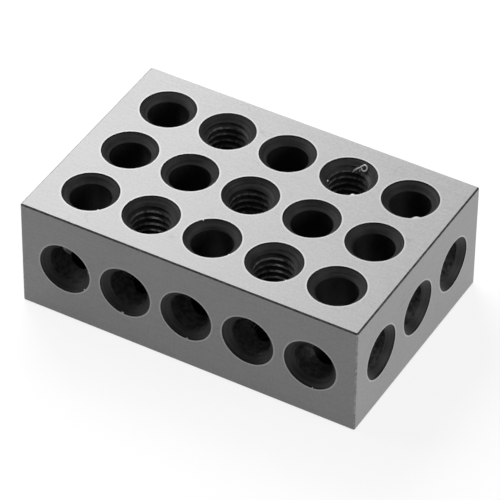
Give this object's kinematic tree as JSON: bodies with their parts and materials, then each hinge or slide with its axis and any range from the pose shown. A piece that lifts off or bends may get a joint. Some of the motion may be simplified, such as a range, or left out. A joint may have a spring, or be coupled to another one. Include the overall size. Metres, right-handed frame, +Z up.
{
  "type": "machinist setup block",
  "caption": "Ground steel block with sides in the ratio 1 : 2 : 3, drilled through all six faces with countersunk plain and tapped holes that cross inside.",
  "frame": {"origin": "centre of the bottom broad face, on the plane that the block rests on", "axes": "+X along the 76.2 mm length, +Y across the 50.8 mm width, away from the front long side, +Z up through the 25.4 mm thickness"},
  "size_m": [0.0762, 0.0508, 0.0254],
  "materials": {
    "ground_steel": "surface ground, light grey with a fine grain; countersinks, bores and edge breaks dark with heat-treatment scale"
  },
  "bodies": {
    "root": {"block": "ground_steel"}
  },
  "joints": []
}
